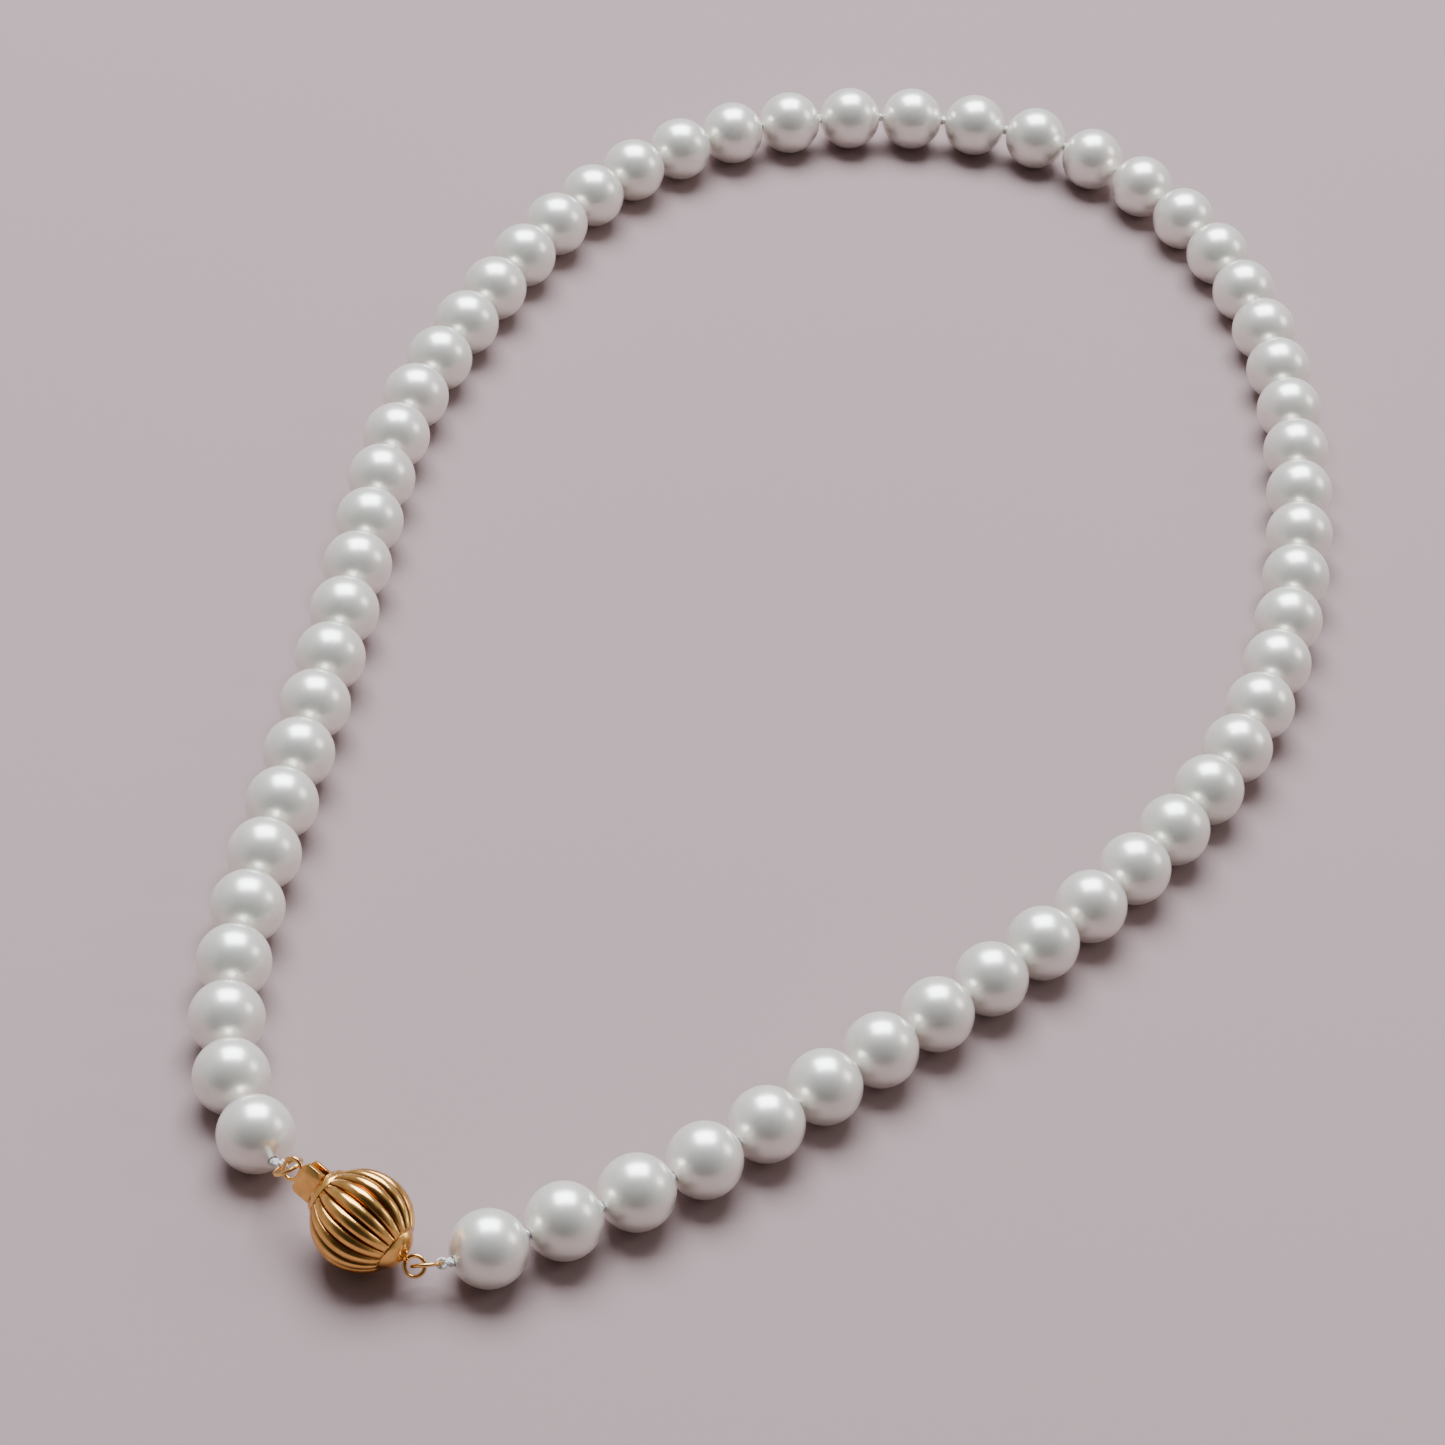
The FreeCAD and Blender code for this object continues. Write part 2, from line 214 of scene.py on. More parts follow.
def tube(path, radius, sides=16, closed=False):
    """A round tube along points. radius is one number, or one for each point."""
    path = np.asarray(path, float)
    count = len(path)
    radii = np.full(count, radius) if np.isscalar(radius) else np.asarray(radius)
    ahead = np.roll(path, -1, axis=0) - path
    behind = path - np.roll(path, 1, axis=0)
    if not closed:
        ahead[-1] = behind[-1]
        behind[0] = ahead[0]
    tangents = np.array([unit(unit(a) + unit(b)) for a, b in zip(ahead, behind)])
    side, _ = side_of(tangents[0])
    sides_list = [side]
    for tangent in tangents[1:]:
        side = unit(side - tangent * (side @ tangent))
        sides_list.append(side)
    twist = 0.0
    if closed:
        last = unit(sides_list[-1] - tangents[0] * (sides_list[-1] @ tangents[0]))
        twist = math.atan2(np.cross(last, sides_list[0]) @ tangents[0], last @ sides_list[0])
    verts = []
    for k in range(count):
        a = sides_list[k]
        b = np.cross(tangents[k], a)
        for s in range(sides):
            angle = 2 * math.pi * s / sides + twist * k / count
            verts.append(path[k] + radii[k] * (math.cos(angle) * a + math.sin(angle) * b))
    faces = grid_faces(count, sides, wrap_rows=closed)
    if not closed:
        for k in (0, count - 1):
            centre = len(verts)
            outward = -1 if k == 0 else 1
            verts.append(path[k] + outward * tangents[k] * radii[k] * 0.35)
            for s in range(sides):
                pair = (k * sides + s, k * sides + (s + 1) % sides)
                faces.append((centre,) + (pair if k else pair[::-1]))
    return verts, faces


def lathe(profile, segments=96, closed=True):
    """A profile of (along, out) points turned about +X."""
    verts = []
    for along, out in profile:
        for s in range(segments):
            angle = 2 * math.pi * s / segments
            verts.append(np.array([along, out * math.cos(angle), out * math.sin(angle)]))
    return verts, grid_faces(len(profile), segments, wrap_rows=closed)


def placed(part, matrix):
    verts, faces = part
    turned = np.asarray(verts) @ np.array(matrix.to_3x3()).T + np.array(matrix.translation)
    return list(turned), faces


def matrix_from(x_axis, y_axis, origin):
    x = unit(np.asarray(x_axis, float))
    y = unit(y_axis - x * (y_axis @ x))
    z = np.cross(x, y)
    matrix = Matrix.Identity(4)
    for k in range(3):
        matrix[k][0], matrix[k][1], matrix[k][2] = x[k], y[k], z[k]
        matrix[k][3] = origin[k]
    return matrix


# ---- materials ----
class Nodes:
    """A material's nodes, made and joined in few words."""

    def __init__(self, name):
        self.material = bpy.data.materials.new(name)
        self.material.use_nodes = True
        self.tree = self.material.node_tree
        self.shader = self.tree.nodes["Principled BSDF"]

    def link(self, out, into):
        self.tree.links.new(out, into)

    def set(self, **values):
        for key, value in values.items():
            self.shader.inputs[key.replace("_", " ")].default_value = value

    def attribute(self, name):
        node = self.tree.nodes.new("ShaderNodeAttribute")
        node.attribute_name = name
        return node.outputs["Fac"]

    def place(self, scale=(1, 1, 1)):
        coordinates = self.tree.nodes.new("ShaderNodeTexCoord")
        mapping = self.tree.nodes.new("ShaderNodeMapping")
        mapping.inputs["Scale"].default_value = scale
        self.link(coordinates.outputs["Object"], mapping.inputs["Vector"])
        return mapping.outputs["Vector"]

    def noise(self, scale, detail=3.0, roughness=0.5, where=None):
        node = self.tree.nodes.new("ShaderNodeTexNoise")
        node.inputs["Scale"].default_value = scale
        node.inputs["Detail"].default_value = detail
        node.inputs["Roughness"].default_value = roughness
        self.link(where or self.place(), node.inputs["Vector"])
        return node.outputs["Fac"]

    def spread(self, value, low, high, to_low, to_high):
        node = self.tree.nodes.new("ShaderNodeMapRange")
        keys = ("From Min", "From Max", "To Min", "To Max")
        for key, number in zip(keys, (low, high, to_low, to_high)):
            node.inputs[key].default_value = number
        self.link(value, node.inputs["Value"])
        return node.outputs["Result"]

    def math(self, operation, a, b=None):
        node = self.tree.nodes.new("ShaderNodeMath")
        node.operation = operation
        for socket, value in zip(node.inputs, (a, b)):
            if value is None:
                continue
            if isinstance(value, (int, float)):
                socket.default_value = value
            else:
                self.link(value, socket)
        return node.outputs[0]

    def mix(self, factor, a, b):
        node = self.tree.nodes.new("ShaderNodeMix")
        node.data_type = "RGBA"
        self.link(factor, node.inputs[0])
        for socket, value in zip(node.inputs[6:8], (a, b)):
            if isinstance(value, tuple):
                socket.default_value = value + (1.0,)
            else:
                self.link(value, socket)
        return node.outputs[2]

    def bump(self, height, distance, strength, under=None):
        node = self.tree.nodes.new("ShaderNodeBump")
        node.inputs["Distance"].default_value = distance
        node.inputs["Strength"].default_value = strength
        self.link(height, node.inputs["Height"])
        if under is not None:
            self.link(under, node.inputs["Normal"])
        return node.outputs["Normal"]

    def to_shader(self, out, socket):
        self.link(out, self.shader.inputs[socket])


def pearl_material():
    """Satin white nacre: a soft deep body, a finely grained skin, faint overtones, marks."""
    m = Nodes("nacre")
    m.set(Metallic=0.55, Roughness=0.31, IOR=1.6)
    m.set(Coat_Weight=0.45, Coat_Roughness=0.06, Coat_IOR=1.5)
    m.set(Subsurface_Weight=0.15, Subsurface_Radius=(1.0, 0.75, 0.6), Subsurface_Scale=0.0009)
    cloud = m.noise(180.0, detail=2.0)
    body = m.mix(m.spread(cloud, 0.35, 0.65, 0, 1), (0.88, 0.84, 0.77), (0.93, 0.88, 0.82))
    body = m.mix(m.attribute("overtone"), body, (0.93, 0.81, 0.76))
    body = m.mix(m.attribute("green"), body, (0.78, 0.85, 0.72))
    body = m.mix(m.attribute("mark"), body, (0.76, 0.73, 0.66))
    m.to_shader(body, "Base Color")
    skin = m.noise(900.0, detail=4.0, roughness=0.6)
    waves = m.bump(m.noise(420.0, detail=2.0), 0.00004, 0.35)
    m.to_shader(m.bump(skin, 0.000012, 0.3, waves), "Normal")
    return m.material


def gold_material(name, bright, deep_tone_and_shade, low_roughness, high_roughness):
    """Warm yellow gold, polished by hand: fine scratches, a deeper tone in random patches, and
    painted shade in the ribs' grooves and the ball's inside.
    """
    m = Nodes(name)
    m.set(Metallic=1.0)
    patch = m.noise(900.0, detail=3.0)
    colour = m.mix(m.spread(patch, 0.35, 0.7, 0, 0.35), bright, deep_tone_and_shade)
    # painted shade: darker gold mixed in by the groove depth attribute, in the grooves and inside
    # the ball
    colour = m.mix(m.attribute("groove_shade"), colour, deep_tone_and_shade)
    m.to_shader(colour, "Base Color")
    wear = m.spread(m.noise(1500.0, detail=4.0), 0.3, 0.7, low_roughness, high_roughness)
    m.to_shader(wear, "Roughness")
    scratches = m.noise(2600.0, detail=5.0, roughness=0.65, where=m.place((1, 0.15, 0.4)))
    dents = m.bump(m.noise(1100.0, detail=1.0), 0.00003, 0.35)
    m.to_shader(m.bump(scratches, 0.000006, 0.3, dents), "Normal")
    return m.material


def silk_material():
    """White silk thread of several twisted plies, a little greyed where it rubs, with painted shade
    in the furrows between the plies.
    """
    m = Nodes("silk")
    m.set(Sheen_Weight=0.35, Sheen_Roughness=0.4, Roughness=0.62)
    m.set(Subsurface_Weight=0.15, Subsurface_Radius=(1.0, 0.9, 0.8), Subsurface_Scale=0.0002)
    rub = m.noise(1400.0, detail=3.0)
    colour = m.mix(m.spread(rub, 0.35, 0.7, 0, 1), (0.93, 0.93, 0.91), (0.84, 0.83, 0.80))
    ply = m.math("SINE", m.math("MULTIPLY", m.attribute("twist"), 2 * math.pi))
    # painted shade: the colour darkens in the furrows between the plies
    furrow_shade = m.spread(ply, -1, 0.2, 0.35, 0.0)
    m.to_shader(m.mix(furrow_shade, colour, (0.72, 0.70, 0.66)), "Base Color")
    m.to_shader(m.bump(ply, 0.00004, 0.8), "Normal")
    return m.material


def floor_material():
    m = Nodes("floor")
    m.set(Roughness=0.95, Specular_IOR_Level=0.15)
    m.set(Base_Color=(0.34, 0.25, 0.25, 1))
    return m.material


NACRE = pearl_material()
GOLD = gold_material("gold", (0.90, 0.50, 0.15), (0.24, 0.08, 0.018), 0.12, 0.24)
WIRE_GOLD = gold_material("wire_gold", (0.90, 0.54, 0.19), (0.45, 0.20, 0.06), 0.14, 0.26)
SILK = silk_material()


# ---- where the pearls are ----
def loose_parts(node):
    """The separate solids of a CAD node, each as its vertices."""
    mesh = frame["nodes"][node].data
    co = np.array([v.co[:] for v in mesh.vertices])
    keys = {}
    same = [keys.setdefault(tuple(np.round(v, 7)), k) for k, v in enumerate(co)]
    leader = list(range(len(co)))

    def find(k):
        while leader[k] != k:
            leader[k] = leader[leader[k]]
            k = leader[k]
        return k

    for k, other in enumerate(same):
        leader[find(k)] = find(other)
    for edge in mesh.edges:
        leader[find(edge.vertices[0])] = find(edge.vertices[1])
    groups = {}
    for k in range(len(co)):
        groups.setdefault(find(k), []).append(co[k])
    return [np.array(group) for group in groups.values()]


def pearl_place(verts):
    """A pearl's middle, from its round outside, and the line of its drill hole."""
    outside = verts
    for _ in range(3):
        system = np.c_[2 * outside, np.ones(len(outside))]
        solution = np.linalg.lstsq(system, (outside ** 2).sum(1), rcond=None)[0]
        middle = solution[:3]
        far = np.linalg.norm(verts - middle, axis=1)
        outside = verts[np.abs(far - PEARL_RADIUS) < 0.02 * MM]
    bore = verts[far < PEARL_RADIUS - 0.1 * MM] - middle
    line = np.linalg.svd(bore, full_matrices=False)[2][0]
    return middle, line


def strand_places():
    """Every pearl in order along the strand: (body, middle, line towards the next)."""
    places = []
    last = np.array(sum(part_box("silk_loop_right"), Vector()) / 2)
    links = sorted(node for node in frame["nodes"] if node.startswith("pearls_"))
    for node in links:
        found = [pearl_place(part) for part in loose_parts(node)]
        body = "link_" + node.split("_")[1]
        while found:
            found.sort(key=lambda place: np.linalg.norm(place[0] - last))
            middle, line = found.pop(0)
            line = line if line @ (middle - last) > 0 else -line
            places.append((body, middle, line))
            last = middle
    return places


def knot_places():
    """A knot at each end of the strand, and one between every two pearls."""
    before = [middle - line * HALF_PITCH for _, middle, line in PLACES]
    after = [middle + line * HALF_PITCH for _, middle, line in PLACES]
    between = [(a + b) / 2 for a, b in zip(after, before[1:])]
    return [before[0]] + between + [after[-1]]


PLACES = strand_places()
KNOTS = knot_places()


# ---- pearls ----
def pearl_profile():
    """A drilled pearl's outline: round outside, eased lip, knot seat, straight bore."""
    lip = math.asin(LIP_RADIUS / PEARL_RADIUS)
    arc = [
        (-PEARL_RADIUS * math.cos(a), PEARL_RADIUS * math.sin(a))
        for a in np.linspace(lip, math.pi - lip, 57)
    ]
    seat_end = math.asin(DRILL_RADIUS / SEAT_RADIUS)
    seat_start = math.asin(SEAT_RIM / SEAT_RADIUS)
    seat = [
        (HALF_PITCH - SEAT_RADIUS * math.cos(a), SEAT_RADIUS * math.sin(a))
        for a in np.linspace(seat_start, seat_end, 4)
    ]
    bore = [(x, DRILL_RADIUS) for x in np.linspace(seat[-1][0], -seat[-1][0], 5)[1:-1]]
    return arc + seat + bore + [(-x, out) for x, out in seat[::-1]]


def uneven(directions, size):
    """A slow, smooth unevenness over a round surface, from -size up to 0."""
    total = np.zeros(len(directions))
    for _ in range(5):
        way = unit(rng.normal(size=3))
        turns = rng.uniform(1.5, 4.0)
        share = rng.uniform(0.3, 1.0)
        total += share * np.sin(turns * directions @ way + rng.uniform(0, ANY_TURN))
    return size * (total - total.max()) / max(total.max() - total.min(), 1e-9)


def make_pearl(number, body, middle, line):
    """A pearl: its outside a little uneven, its seats and bore left true."""
    across, _ = side_of(line)
    turn = rng.uniform(0, 2 * math.pi)
    across = math.cos(turn) * across + math.sin(turn) * np.cross(line, across)
    verts, faces = placed(lathe(pearl_profile(), PEARL_SEGMENTS), matrix_from(line, across, middle))
    verts = np.array(verts)
    out = verts - middle
    far = np.linalg.norm(out, axis=1)
    directions = out / far[:, None]
    on_skin = far > PEARL_RADIUS * 0.995
    verts += directions * (uneven(directions, PEARL_UNEVEN) * on_skin)[:, None]
    faces = [face[::-1] for face in faces]
    node = "pearls_" + body.split("_")[1]
    piece = new_piece("pearl_%02d" % number, verts, faces, NACRE, body, [node])
    marks = np.zeros(len(verts))
    for _ in range(rng.integers(0, 3)):
        spot = unit(rng.normal(size=3))
        marks += MARK_STRENGTH * np.exp(-((directions - spot) ** 2).sum(1) / MARK_SPREAD)
    hue = rng.uniform(0, 1)
    overtone = 0.5 + uneven(directions, 0.5)
    set_attribute(piece, "overtone", np.clip(overtone * 0.8 * hue, 0, 1))
    set_attribute(piece, "green", np.clip(overtone * 0.6 * (1 - hue), 0, 1))
    set_attribute(piece, "mark", np.clip(marks, 0, 2 * MARK_STRENGTH) * on_skin)


for number, (body, middle, line) in enumerate(PLACES, 1):
    make_pearl(number, body, middle, line)


# ---- silk ----
def with_twist(parts, pitch):
    """Joined tubes, and at each vertex how far round its thread's twist it is."""
    tubes = [tube(*part) for part in parts]
    verts, faces = join(tubes)
    twist = []
    for (path, _, sides, _), (tube_verts, _) in zip(parts, tubes):
        steps = np.linalg.norm(np.diff(path, axis=0), axis=1)
        along = np.r_[0, np.cumsum(steps)]
        for distance in along:
            twist.extend(distance / pitch + PLIES * s / sides for s in range(sides))
        twist.extend([0.0] * (len(tube_verts) - len(along) * sides))
    return verts, faces, twist


def knot_path(centre, line, turn, radius):
    """An overhand knot pulled tight: a trefoil laid square to the silk."""
    across, other = side_of(line)
    a = math.cos(turn) * across + math.sin(turn) * other
    b = np.cross(line, a)
    size = (radius - KNOT_STRAND) / 3
    points = []
    for t in np.linspace(0, 2 * math.pi, 48, endpoint=False):
        x = math.sin(t) + 2 * math.sin(2 * t)
        y = math.cos(t) - 2 * math.cos(2 * t)
        points.append(centre + size * (x * a + y * b - 0.5 * math.sin(3 * t) * line))
    return np.array(points)


def knot_core(centre, line):
    """The plump middle of a tight knot, which the tied thread wraps."""
    return np.array([centre + line * x for x in CORE_PLACES])


def knot_line(k):
    """The silk's direction at a knot, midway between its two pearls' drill holes."""
    return unit(sum(line for _, _, line in PLACES[max(k - 1, 0):k + 1]))


def make_link_silk(link):
    """A link's thread, through its pearls from knot to knot, and the knots along it."""
    first = PEARLS_PER_LINK * link
    last = first + PEARLS_PER_LINK
    path = []
    for start, end in zip(KNOTS[first:last], KNOTS[first + 1:last + 1]):
        path.extend(start + (end - start) * share for share in np.linspace(0, 1, 8)[:-1])
    path.append(KNOTS[last])
    parts = [(np.array(path), SILK_RADIUS, 12, False)]
    for k in range(first + 1, last + 1):
        parts.append((knot_core(KNOTS[k], knot_line(k)), CORE_RADII, 14, False))
        radius = HINGE_KNOT_RADIUS if k == last else KNOT_RADIUS
        tied = knot_path(KNOTS[k], knot_line(k), rng.uniform(0, ANY_TURN), radius)
        parts.append((tied, KNOT_STRAND, 10, True))
    verts, faces, twist = with_twist(parts, PLY_PITCH)
    name = "%02d" % (link + 1)
    node = "silk_" + name
    piece = new_piece("silk_run_" + name, verts, faces, SILK, "link_" + name, [node])
    set_attribute(piece, "twist", twist)


for link in range(LINKS):
    make_link_silk(link)


# ---- the clasp's frame, from its joints ----
JOINTS = {joint["name"]: joint for joint in frame["joints"]}


def joint_point(name):
    return np.array(JOINTS[name]["pos_m"], float)


def clasp_frame():
    """Where the ball's middle is and how it lies, from its eye, tongue ring and pivot."""
    up = unit(np.array(JOINTS["thumb_press"]["axis"], float))
    eye = joint_point("jump_ring_right_roll")
    oval = joint_point("tongue_on_left_ring")
    run = EYE_CENTRE - TONGUE_RING_CENTRE
    aside = -PLATE_MIDDLE
    between = eye - oval
    along = unit(run * between - aside * np.cross(up, between))
    return matrix_from(along, np.cross(up, along), eye - along * EYE_CENTRE)


CLASP = clasp_frame()


# ---- the fluted ball ----
def rib_depth(turn):
    """How far below the ball's round a rib lies: rounded ribs that meet in narrow grooves."""
    share = (turn * RIBS / (2 * math.pi)) % 1.0
    across = 2 * abs(share - 0.5)
    return RIB_HEIGHT * (1 - math.sqrt(1 - (RIB_WIDTH * across) ** 2))


RIB_PHASES = rng.uniform(0, ANY_TURN, RIBS)   # of each rib's wobble, the same on both halves


def fluted_half(name, low, high, node):
    """Half of the ball: ribbed outside, plain inside, its ribs shallower at the fitting; painted
    shade darkens its grooves and its inside.
    """
    columns = RIBS * RIB_COLUMNS
    turns = [2 * math.pi * s / columns for s in range(columns)]
    fitting = low if abs(low) > abs(high) else high
    verts, groove_shade = [], []
    for x in np.linspace(low, high, RIB_ROWS):
        round_out = math.sqrt(BALL_RADIUS ** 2 - x ** 2)
        ease = min(1.0, abs(x - fitting) / RIB_RISE)
        ease = RIB_END + (1 - RIB_END) * math.sin(ease * math.pi / 2)
        ease *= 0.55 + 0.45 * round_out / BALL_RADIUS
        for s, turn in enumerate(turns):
            phase = WOBBLE_TURNS * x + RIB_PHASES[s // RIB_COLUMNS]
            depth = (rib_depth(turn) + RIB_WOBBLE * (1 + math.sin(phase))) * ease
            out = round_out - depth
            verts.append(np.array([x, out * math.cos(turn), out * math.sin(turn)]))
            # painted shade: the gold is darkened with a rib's depth, most in the grooves
            groove_shade.append(min(1.0, (depth / (GROOVE_SHADE_FULL * RIB_HEIGHT)) ** 1.6))
    faces = [face[::-1] for face in grid_faces(RIB_ROWS, columns)]
    start = len(verts)
    for x in np.linspace(low, high, INSIDE_ROWS):
        out = math.sqrt(BALL_INNER ** 2 - x ** 2) - BALL_INSIDE_GAP
        for turn in turns:
            verts.append(np.array([x, out * math.cos(turn), out * math.sin(turn)]))
            # painted shade: the whole inside gets the darkest gold
            groove_shade.append(1.0)
    faces += grid_faces(INSIDE_ROWS, columns, first=start)
    last_outer = (RIB_ROWS - 1) * columns
    last_inner = start + (INSIDE_ROWS - 1) * columns
    for s in range(columns):
        t = (s + 1) % columns
        faces.append((s, t, start + t, start + s))
        faces.append((last_outer + t, last_outer + s, last_inner + s, last_inner + t))
    verts, faces = placed((verts, faces), CLASP)
    piece = new_piece(name, verts, faces, GOLD, "clasp_ball", [node])
    set_attribute(piece, "groove_shade", groove_shade)


fluted_half("ribbed_half_mouth", MOUTH_FACE, 0.0, "ball_half_mouth")
fluted_half("ribbed_half_cap", 0.0, CAP_FACE, "ball_half_cap")


# ---- the cap and the wire rings ----
def arc_through(a, b, c, count):
    """Points on the circle through three points in a plane."""
    matrix = np.array([[b[0] - a[0], b[1] - a[1]], [c[0] - a[0], c[1] - a[1]]]) * 2
    right = np.array([b[0] ** 2 + b[1] ** 2 - a[0] ** 2 - a[1] ** 2,
                      c[0] ** 2 + c[1] ** 2 - a[0] ** 2 - a[1] ** 2])
    centre = np.linalg.solve(matrix, right)
    start = math.atan2(a[1] - centre[1], a[0] - centre[0])
    end = math.atan2(c[1] - centre[1], c[0] - centre[0])
    radius = math.hypot(a[0] - centre[0], a[1] - centre[1])
    return [
        (centre[0] + radius * math.cos(t), centre[1] + radius * math.sin(t))
        for t in np.linspace(start, end, count)
    ]


def dome_points(face, rim, apex):
    """A dome's outline, from its rim over its shoulder to its tip."""
    shoulder = (face + DOME_SHOULDER[0] * (apex - face), DOME_SHOULDER[1] * rim)
    return arc_through((face, rim), shoulder, (apex, DOME_TIP * rim), 28)


def make_cap():
    """The end cap, a hollow dome with an eased rim."""
    outer = dome_points(CAP_FACE + 0.06 * MM, CAP_RIM - 0.01 * MM, CAP_APEX)
    inner = dome_points(CAP_FACE, CAP_RIM - CAP_WALL, CAP_APEX - CAP_WALL)
    lip = [(CAP_FACE, CAP_RIM - 0.06 * MM), (CAP_FACE + 0.015 * MM, CAP_RIM - 0.02 * MM)]
    tip = [(CAP_APEX + 0.01 * MM, CAP_TIP), (CAP_APEX - CAP_WALL, CAP_TIP)]
    verts, faces = placed(lathe(lip + outer + tip + inner[::-1]), CLASP)
    faces = [face[::-1] for face in faces]
    piece = new_piece("cap_dome", verts, faces, GOLD, "clasp_ball", ["end_cap"])
    set_attribute(piece, "groove_shade", np.zeros(len(verts)))


def circle(centre, a, b, radius, count, start=0.0, end=2 * math.pi):
    whole = end - start > 2 * math.pi - 1e-6
    turns = np.linspace(start, end, count, endpoint=not whole)
    return np.array([centre + radius * (math.cos(t) * a + math.sin(t) * b) for t in turns])


def clasp_vector(x, y, z):
    return np.array(CLASP.to_3x3() @ Vector((x, y, z)))


def clasp_point(x, y, z):
    return np.array(CLASP @ Vector((x, y, z)))


def wire_piece(name, parts, body, nodes):
    verts, faces = join(parts)
    piece = new_piece(name, verts, faces, WIRE_GOLD, body, nodes)
    set_attribute(piece, "groove_shade", np.zeros(len(verts)))


def make_eye():
    """The wire eye, on a stem that flares where it is soldered to the cap."""
    along = clasp_vector(1, 0, 0)
    across = clasp_vector(0, math.sin(EYE_TURN), math.cos(EYE_TURN))
    round_eye = circle(clasp_point(EYE_CENTRE, 0, 0), along, across, EYE_RADIUS, 72)
    eye = tube(round_eye, EYE_WIRE, 20, True)
    shares = np.linspace(0, 1, 9)
    length = EYE_CENTRE - EYE_RADIUS - CAP_APEX + 0.12 * MM
    stem_path = [clasp_point(CAP_APEX - 0.02 * MM + length * t, 0, 0) for t in shares]
    flare = [0.16 * (1 - t) ** 2.5 - 0.04 * math.sin(math.pi * t) for t in shares]
    stem_radius = [(0.24 + wider) * MM for wider in flare]
    wire_piece("cap_eye", [eye, tube(stem_path, stem_radius, 24)], "clasp_ball", ["eye_ring"])


def make_tongue_ring():
    """The oval ring, with a bead of solder where it joins the outer plate."""
    half = OVAL_STRAIGHT / 2
    points = []
    for side in (1, -1):
        for t in np.linspace(0, math.pi, 33):
            x = side * OVAL_RADIUS * math.cos(t)
            z = side * (OVAL_RADIUS * math.sin(t) + half)
            points.append(clasp_point(TONGUE_RING_CENTRE + x, PLATE_MIDDLE, z))
    shares = np.linspace(-1, 1, 9)
    bead_x = TONGUE_RING_CENTRE + OVAL_RADIUS + 0.06 * MM
    bead_path = [clasp_point(bead_x, PLATE_MIDDLE, BEAD_HALF * t) for t in shares]
    bead_radius = [BEAD_RADIUS * math.sqrt(1.02 - t * t) for t in shares]
    parts = [tube(points, EYE_WIRE, 20, True), tube(bead_path, bead_radius, 16)]
    wire_piece("tongue_loop", parts, "tongue", ["tongue_ring"])


def ring_place(node):
    """A jump ring's middle and the line that it is round, from its solid."""
    co = np.array([v.co[:] for v in frame["nodes"][node].data.vertices])
    middle = (co.max(0) + co.min(0)) / 2
    for _ in range(4):
        axis = np.linalg.svd(co - middle, full_matrices=False)[2][2]
        a, b = side_of(axis)
        flat = np.c_[(co - middle) @ a, (co - middle) @ b]
        far = np.hypot(flat[:, 0], flat[:, 1])
        rim = flat[far > far.max() - 0.01 * MM]
        system = np.c_[2 * rim, np.ones(len(rim))]
        shift = np.linalg.lstsq(system, (rim ** 2).sum(1), rcond=None)[0]
        middle = middle + a * shift[0] + b * shift[1]
        middle = middle + axis * np.mean((co - middle) @ axis)
    return middle, axis


def make_jump_ring(node, name, body):
    """Round wire bent to a ring, its sawn ends closed against each other."""
    middle, axis = ring_place(node)
    a, b = side_of(axis)
    start = JUMP_CUT + JUMP_GAP
    end = JUMP_CUT + 2 * math.pi - JUMP_GAP
    path = circle(middle, a, b, JUMP_RADIUS, 90, start, end)
    wire_piece(name, [tube(path, JUMP_WIRE, 20)], body, [node])
    return middle, axis


make_cap()
make_eye()
make_tongue_ring()
RIGHT_MIDDLE, RIGHT_AXIS = make_jump_ring("jump_ring_right", "ring_by_cap", "jump_ring_right")
LEFT_MIDDLE, LEFT_AXIS = make_jump_ring("jump_ring_left", "ring_by_tongue", "jump_ring_left")


# ---- the plates ----
def eased_copy(node, name, width):
    """A CAD solid with its sharp edges rounded over, as a polished casting has them."""
    source = frame["nodes"][node]
    mesh = source.data.copy()
    mesh.name = name
    mesh.materials.clear()
    mesh.materials.append(GOLD)
    piece = bpy.data.objects.new(name, mesh)
    bpy.context.scene.collection.objects.link(piece)
    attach(piece, source["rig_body"])
    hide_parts(node)
    weld = piece.modifiers.new("weld", "WELD")
    weld.merge_threshold = WELD_WITHIN
    flat = piece.modifiers.new("flat", "DECIMATE")
    flat.decimate_type = "DISSOLVE"
    flat.angle_limit = FLAT_WITHIN
    bevel = piece.modifiers.new("bevel", "BEVEL")
    bevel.width = width
    bevel.segments = 3
    bevel.limit_method = "ANGLE"
    bevel.angle_limit = BEVEL_OVER
    normals = piece.modifiers.new("normals", "WEIGHTED_NORMAL")
    normals.keep_sharp = False
    for modifier in list(piece.modifiers):
        with bpy.context.temp_override(object=piece, active_object=piece):
            bpy.ops.object.modifier_apply(modifier=modifier.name)
    piece.data.polygons.foreach_set("use_smooth", [True] * len(piece.data.polygons))
    set_attribute(piece, "groove_shade", np.zeros(len(piece.data.vertices)))
    return piece


def hug_ball(piece):
    """Slopes the collar's rim, so that it carries the ball's curve on to its mouth."""
    to_clasp = CLASP.inverted()
    for vertex in piece.data.vertices:
        x, y, z = to_clasp @ vertex.co
        out = math.hypot(y, z)
        if out > COLLAR_HUB - 0.02 * MM:
            share = min(max((x - COLLAR_FACE) / (MOUTH_FACE - COLLAR_FACE), 0), 1)
            new = COLLAR_TOP + (COLLAR_FOOT - COLLAR_TOP) * math.sin(share * math.pi / 2)
            vertex.co = CLASP @ Vector((x, y * new / out, z * new / out))


for node, name, width in (
    ("tongue_base", "tongue_strip", 0.05 * MM),
    ("tongue_spring", "spring_leaf", 0.03 * MM),
    ("thumb_tab", "thumb_piece", 0.05 * MM),
):
    eased_copy(node, name, width)
hug_ball(eased_copy("mouth_plate", "collar_plate", 0.04 * MM))


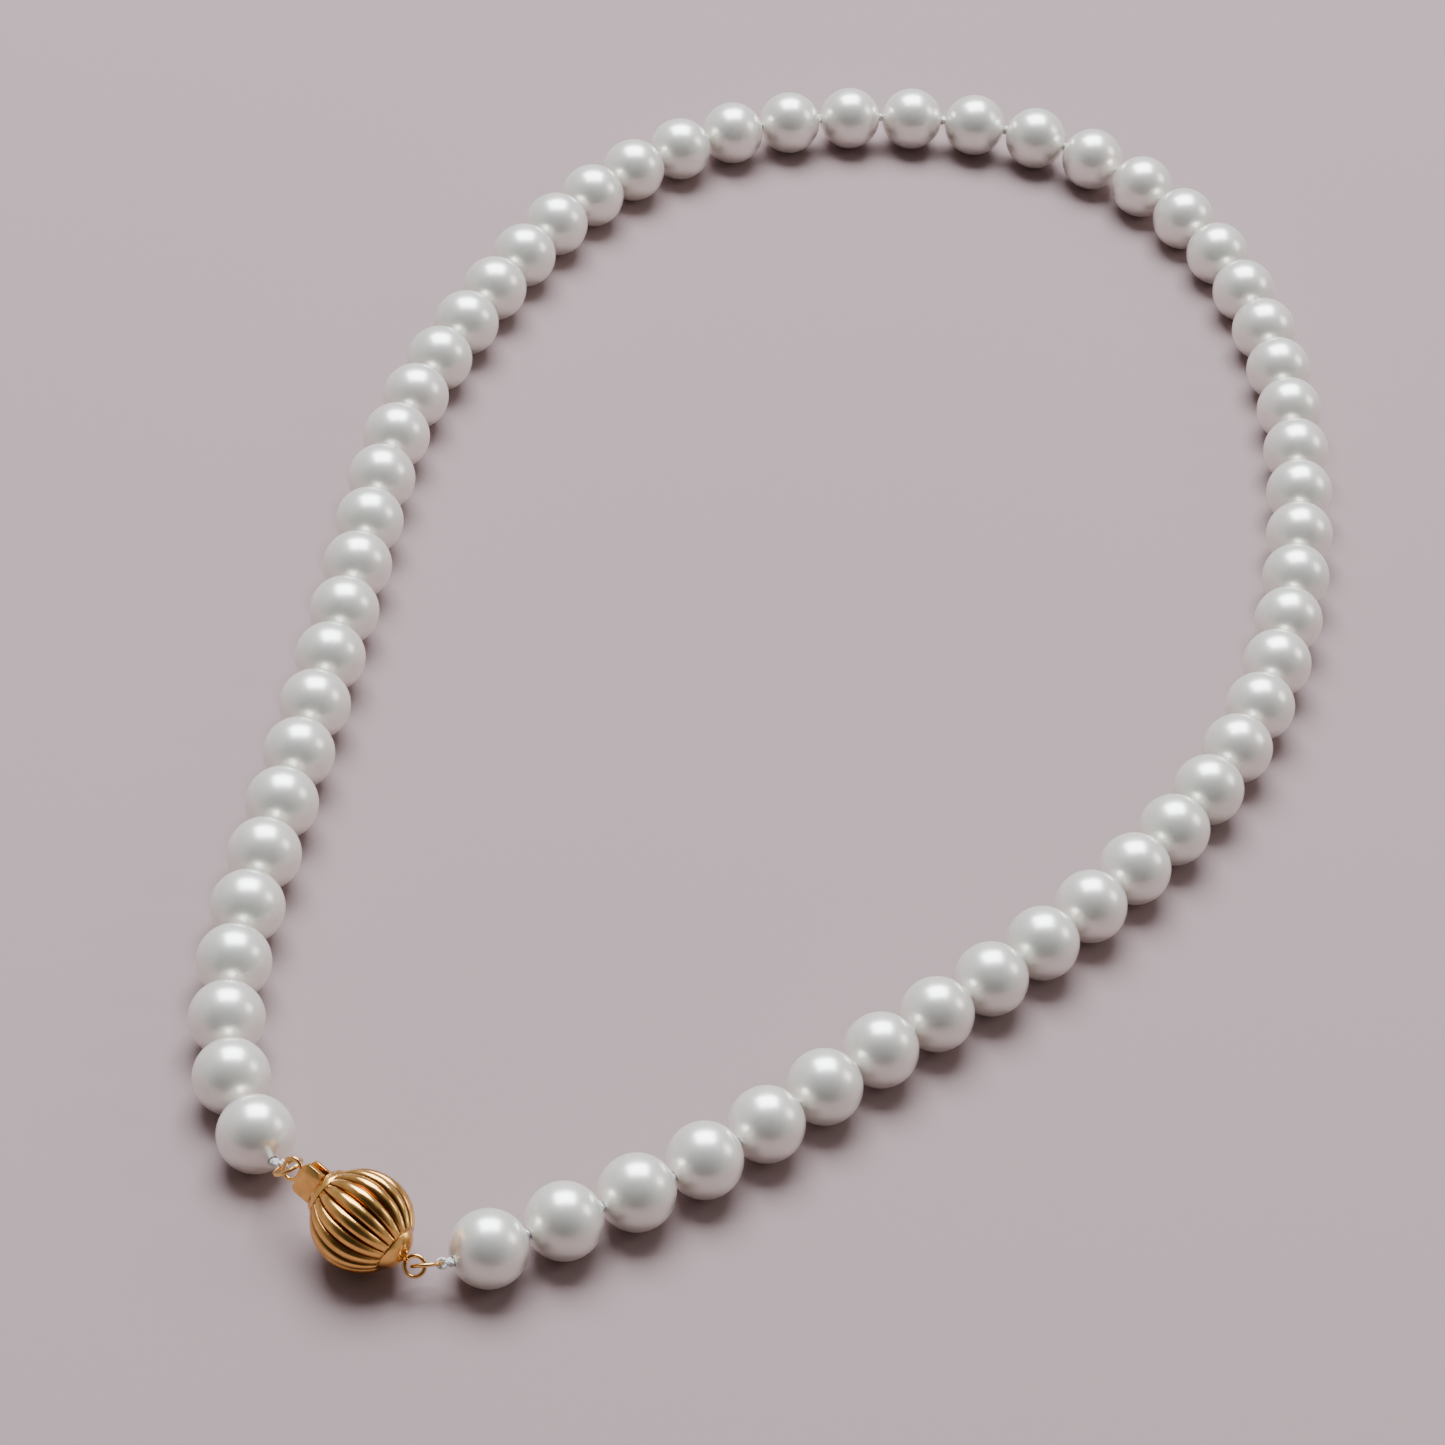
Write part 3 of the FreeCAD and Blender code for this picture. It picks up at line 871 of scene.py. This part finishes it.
# ---- the silk's end turns ----
def make_end_silk(name, node, ring_middle, ring_axis, knot, knotted):
    """Two turns of silk round a jump ring's wire, and the thread back to the end knot."""
    along = unit(knot - ring_middle)
    along = unit(along - ring_axis * (along @ ring_axis))
    wire = ring_middle + along * JUMP_RADIUS
    across = np.cross(along, ring_axis)
    parts = []
    for shift in (-1, 1):
        centre = wire + across * shift * END_STRAND * 1.05
        loop = circle(centre, along, ring_axis, JUMP_WIRE + END_STRAND + 0.06 * MM, 32)
        parts.append((loop, END_STRAND, 12, True))
    start = wire + along * (JUMP_WIRE + END_STRAND)
    path = np.array([start + (knot - start) * t for t in np.linspace(0, 1, 8)])
    for shift in (-1, 1):
        parts.append((path + across * shift * END_STRAND * 0.9, END_STRAND, 12, False))
    if knotted:
        parts.append((knot_core(knot, PLACES[0][2]), CORE_RADII, 14, False))
        tied = knot_path(knot, PLACES[0][2], 1.0, HINGE_KNOT_RADIUS)
        parts.append((tied, KNOT_STRAND, 10, True))
    verts, faces, twist = with_twist(parts, END_PLY_PITCH)
    piece = new_piece(name, verts, faces, SILK, node, [node])
    set_attribute(piece, "twist", twist)


make_end_silk("silk_turn_right", "silk_loop_right", RIGHT_MIDDLE, RIGHT_AXIS, KNOTS[0], True)
make_end_silk("silk_turn_left", "silk_loop_left", LEFT_MIDDLE, LEFT_AXIS, KNOTS[-1], False)


# ---- floor, light and camera ----
def make_floor():
    corners = [(x * FLOOR_HALF, y * FLOOR_HALF, 0) for x, y in ((-1, -1), (1, -1), (1, 1), (-1, 1))]
    mesh = bpy.data.meshes.new("floor")
    mesh.from_pydata(corners, [], [(0, 1, 2, 3)])
    mesh.materials.append(floor_material())
    floor = bpy.data.objects.new("floor", mesh)
    bpy.context.scene.collection.objects.link(floor)


def area_light(name, heading, height, distance, width, depth, power, colour):
    """A soft panel that shines on the necklace from a heading and a height, in degrees."""
    light = bpy.data.lights.new(name, "AREA")
    light.shape = "RECTANGLE"
    light.size = width
    light.size_y = depth
    light.energy = power
    light.color = colour
    lamp = bpy.data.objects.new(name, light)
    h, e = math.radians(heading), math.radians(height)
    place = Vector((math.sin(h) * math.cos(e), math.cos(h) * math.cos(e), math.sin(e))) * distance
    lamp.location = place
    lamp.rotation_euler = (-place).to_track_quat("-Z", "Y").to_euler()
    bpy.context.scene.collection.objects.link(lamp)


def make_light():
    """A cool window above and behind the strand, a weak warm side light, a dim room."""
    area_light("window", -11, 64, 1.2, 1.0, 0.85, 40.0, (0.84, 0.93, 1.0))
    area_light("side", 75, 30, 1.4, 0.5, 0.5, 3.0, (1.0, 0.97, 0.93))
    world = bpy.data.worlds.new("studio")
    bpy.context.scene.world = world
    world.use_nodes = True
    tree = world.node_tree
    coordinates = tree.nodes.new("ShaderNodeTexCoord")
    facing = tree.nodes.new("ShaderNodeVectorMath")
    facing.operation = "DOT_PRODUCT"
    facing.inputs[1].default_value = ROOM_SIDE
    shade = tree.nodes.new("ShaderNodeMapRange")
    shade.interpolation_type = "SMOOTHSTEP"
    for key, number in (("From Min", 0.30), ("From Max", 0.97), ("To Min", 0.60), ("To Max", 0.06)):
        shade.inputs[key].default_value = number
    tree.links.new(coordinates.outputs["Generated"], facing.inputs[0])
    tree.links.new(facing.outputs["Value"], shade.inputs["Value"])
    background = tree.nodes["Background"]
    background.inputs["Color"].default_value = (0.85, 0.83, 0.82, 1)
    tree.links.new(shade.outputs["Result"], background.inputs["Strength"])


def make_camera():
    camera = bpy.data.cameras.new("camera")
    camera.lens = CAMERA_LENS
    camera.sensor_width = CAMERA_SENSOR
    camera.clip_start = 0.01
    holder = bpy.data.objects.new("camera", camera)
    right = np.array([1.0, 0, 0])
    up = np.array([0, math.sin(CAMERA_DOWN), math.cos(CAMERA_DOWN)])
    cos, sin = math.cos(CAMERA_ROLL), math.sin(CAMERA_ROLL)
    holder.matrix_world = matrix_from(cos * right + sin * up, cos * up - sin * right, CAMERA_PLACE)
    bpy.context.scene.collection.objects.link(holder)
    bpy.context.scene.camera = holder


make_floor()
make_light()
make_camera()
